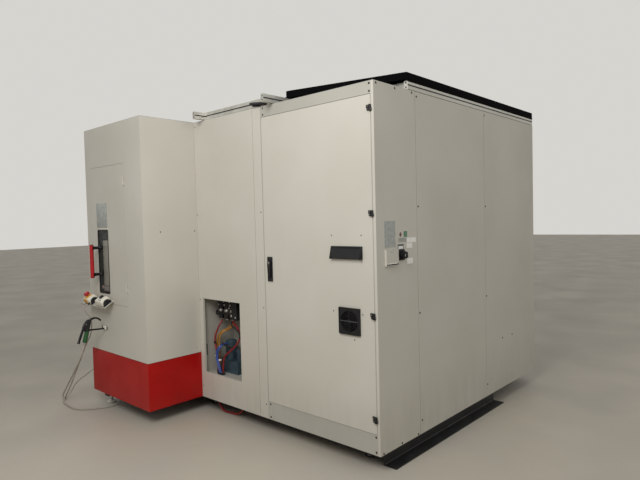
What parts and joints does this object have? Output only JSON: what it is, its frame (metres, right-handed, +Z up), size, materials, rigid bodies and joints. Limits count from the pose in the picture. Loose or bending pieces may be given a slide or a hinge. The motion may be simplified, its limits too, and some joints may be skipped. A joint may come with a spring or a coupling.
{
  "type": "cnc machining center",
  "caption": "Enclosed five-axis machining centre on a low base: front box with door and pendants, control cabinet, service opening, gantry spindle, trunnion table and tool wheel inside.",
  "frame": {"origin": "middle of the footprint on the floor, free hoses and cables left out", "axes": "+Z up from the floor; +Y from the operator's side to the rear; +X towards the side with the main switch"},
  "size_m": [3.2411, 3.2686, 2.579],
  "materials": {
    "warm_grey_paint": "fine-textured powder coat, satin",
    "red_paint": "glossy paint",
    "black_paint": "semi-gloss paint",
    "zinc_steel": "zinc plated",
    "cast_grey": "painted casting, satin",
    "ground_steel": "ground steel",
    "polished_steel": "polished steel",
    "stainless_lining": "brushed sheet",
    "aluminium": "extruded, matt",
    "black_fabric": "pleated coated cloth",
    "black_plastic": "fine-grained moulded plastic",
    "screw_black": "black oxide",
    "pocket_grey": "moulded plastic",
    "pump_paint": "machine enamel",
    "red_rubber": "smooth hose",
    "blue_rubber": "smooth hose",
    "grey_rubber": "matt sheath",
    "red_plastic": "glossy moulded plastic",
    "cream_plastic": "moulded plastic",
    "tinted_glass": "tinted pane"
  },
  "bodies": {
    "machine": {"base_beams": "black_paint", "base_cross_members": "black_paint", "levelling_feet": "zinc_steel", "machine_bed": "cast_grey", "y_guide_rails": "ground_steel", "work_cabin": "stainless_lining", "enclosure_posts": "warm_grey_paint", "side_panel_front": "warm_grey_paint", "side_panel_middle": "warm_grey_paint", "side_panel_rear": "warm_grey_paint", "rear_panels": "warm_grey_paint", "left_panels": "warm_grey_paint", "middle_panel": "warm_grey_paint", "pillar_strip": "warm_grey_paint", "front_box": "warm_grey_paint", "red_skirt": "red_paint", "roof_plate": "aluminium", "roof_rails": "aluminium", "roof_cover": "black_fabric", "cabinet_carcass": "warm_grey_paint", "mounting_plate": "zinc_steel", "drive_modules": "black_plastic", "cabinet_hinges": "black_plastic", "main_switch_plate": "black_plastic", "document_pocket": "pocket_grey", "service_box": "stainless_lining", "valve_block": "black_plastic", "fluid_pump": "pump_paint", "red_hoses": "red_rubber", "small_hoses": "blue_rubber", "gun_holder": "black_plastic", "coolant_gun": "black_plastic", "panel_screws": "screw_black", "magazine_stand": "black_paint", "gun_hose": "grey_rubber", "pendant_cable": "grey_rubber", "drain_hose": "red_rubber"},
    "cabinet_door": {"cabinet_door": "warm_grey_paint", "door_fittings": "black_plastic", "vent_hood": "black_plastic", "fan_guard": "black_plastic"},
    "fan_rotor": {"fan_rotor": "black_plastic"},
    "swing_handle": {"swing_handle": "black_plastic"},
    "main_switch_knob": {"main_switch_knob": "black_plastic"},
    "front_door": {"front_door": "warm_grey_paint", "door_window": "tinted_glass", "door_handle": "red_plastic", "pendant_shelf": "warm_grey_paint", "stop_pendant": "cream_plastic", "wheel_pendant": "cream_plastic"},
    "stop_button": {"stop_button": "red_plastic"},
    "handwheel_dial": {"handwheel_dial": "black_plastic"},
    "gun_trigger": {"gun_trigger": "black_plastic"},
    "traverse": {"traverse": "cast_grey"},
    "x_slide": {"x_slide": "cast_grey"},
    "spindle_ram": {"spindle_ram": "ground_steel"},
    "spindle_rotor": {"spindle_rotor": "polished_steel"},
    "trunnion_cradle": {"trunnion_cradle": "cast_grey"},
    "rotary_table": {"rotary_table": "ground_steel"},
    "magazine_wheel": {"magazine_wheel": "ground_steel"}
  },
  "joints": [
    {"name": "front_door_hinge", "type": "hinge", "parent": "machine", "child": "front_door", "pos_m": [-0.754, -1.40391, 1.5], "axis": [0, 0, 1], "range_deg": [0, 110], "deforming": ["pendant_cable"]},
    {"name": "cabinet_door_hinge", "type": "hinge", "parent": "machine", "child": "cabinet_door", "pos_m": [1.4035, -0.90091, 1.3], "axis": [0, 0, 1], "range_deg": [0, 120]},
    {"name": "fan_spin", "type": "hinge", "parent": "cabinet_door", "child": "fan_rotor", "pos_m": [1.2035, -0.86991, 0.957], "axis": [0, 1, 0], "continuous": true},
    {"name": "handle_turn", "type": "hinge", "parent": "cabinet_door", "child": "swing_handle", "pos_m": [0.4475, -0.89191, 1.31], "axis": [0, -1, 0], "range_deg": [0, 90]},
    {"name": "main_switch_turn", "type": "hinge", "parent": "machine", "child": "main_switch_knob", "pos_m": [1.4475, -0.62191, 1.377], "axis": [1, 0, 0], "range_deg": [0, 90]},
    {"name": "stop_press", "type": "slide", "parent": "front_door", "child": "stop_button", "axis": [0, 0.5299, -0.848], "range_m": [0, 0.004], "stiffness_N_per_m": 2500, "springref_m": -0.001},
    {"name": "dial_turn", "type": "hinge", "parent": "front_door", "child": "handwheel_dial", "pos_m": [-1.0755, -1.46882, 1.00379], "axis": [0, -0.5299, 0.848], "continuous": true},
    {"name": "trigger_pull", "type": "hinge", "parent": "machine", "child": "gun_trigger", "pos_m": [-1.1725, -1.57464, 0.77512], "axis": [1, 0, 0], "range_deg": [0, 6], "stiffness_Nm_per_rad": 3, "springref_deg": -5.73},
    {"name": "y_axis", "type": "slide", "parent": "machine", "child": "traverse", "axis": [0, 1, 0], "range_m": [-0.65, 0]},
    {"name": "x_axis", "type": "slide", "parent": "traverse", "child": "x_slide", "axis": [1, 0, 0], "range_m": [-0.3, 0.3]},
    {"name": "z_axis", "type": "slide", "parent": "x_slide", "child": "spindle_ram", "axis": [0, 0, -1], "range_m": [0, 0.45]},
    {"name": "spindle_turn", "type": "hinge", "parent": "spindle_ram", "child": "spindle_rotor", "pos_m": [-0.5525, 0.58809, 1.62], "axis": [0, 0, 1], "continuous": true},
    {"name": "a_axis", "type": "hinge", "parent": "machine", "child": "trunnion_cradle", "pos_m": [-0.5525, -0.06191, 1.09], "axis": [1, 0, 0], "range_deg": [-110, 110]},
    {"name": "c_axis", "type": "hinge", "parent": "trunnion_cradle", "child": "rotary_table", "pos_m": [-0.5525, -0.06191, 1.026], "axis": [0, 0, 1], "continuous": true},
    {"name": "magazine_turn", "type": "hinge", "parent": "machine", "child": "magazine_wheel", "pos_m": [0.8675, 0.36809, 1.24], "axis": [1, 0, 0], "continuous": true}
  ]
}
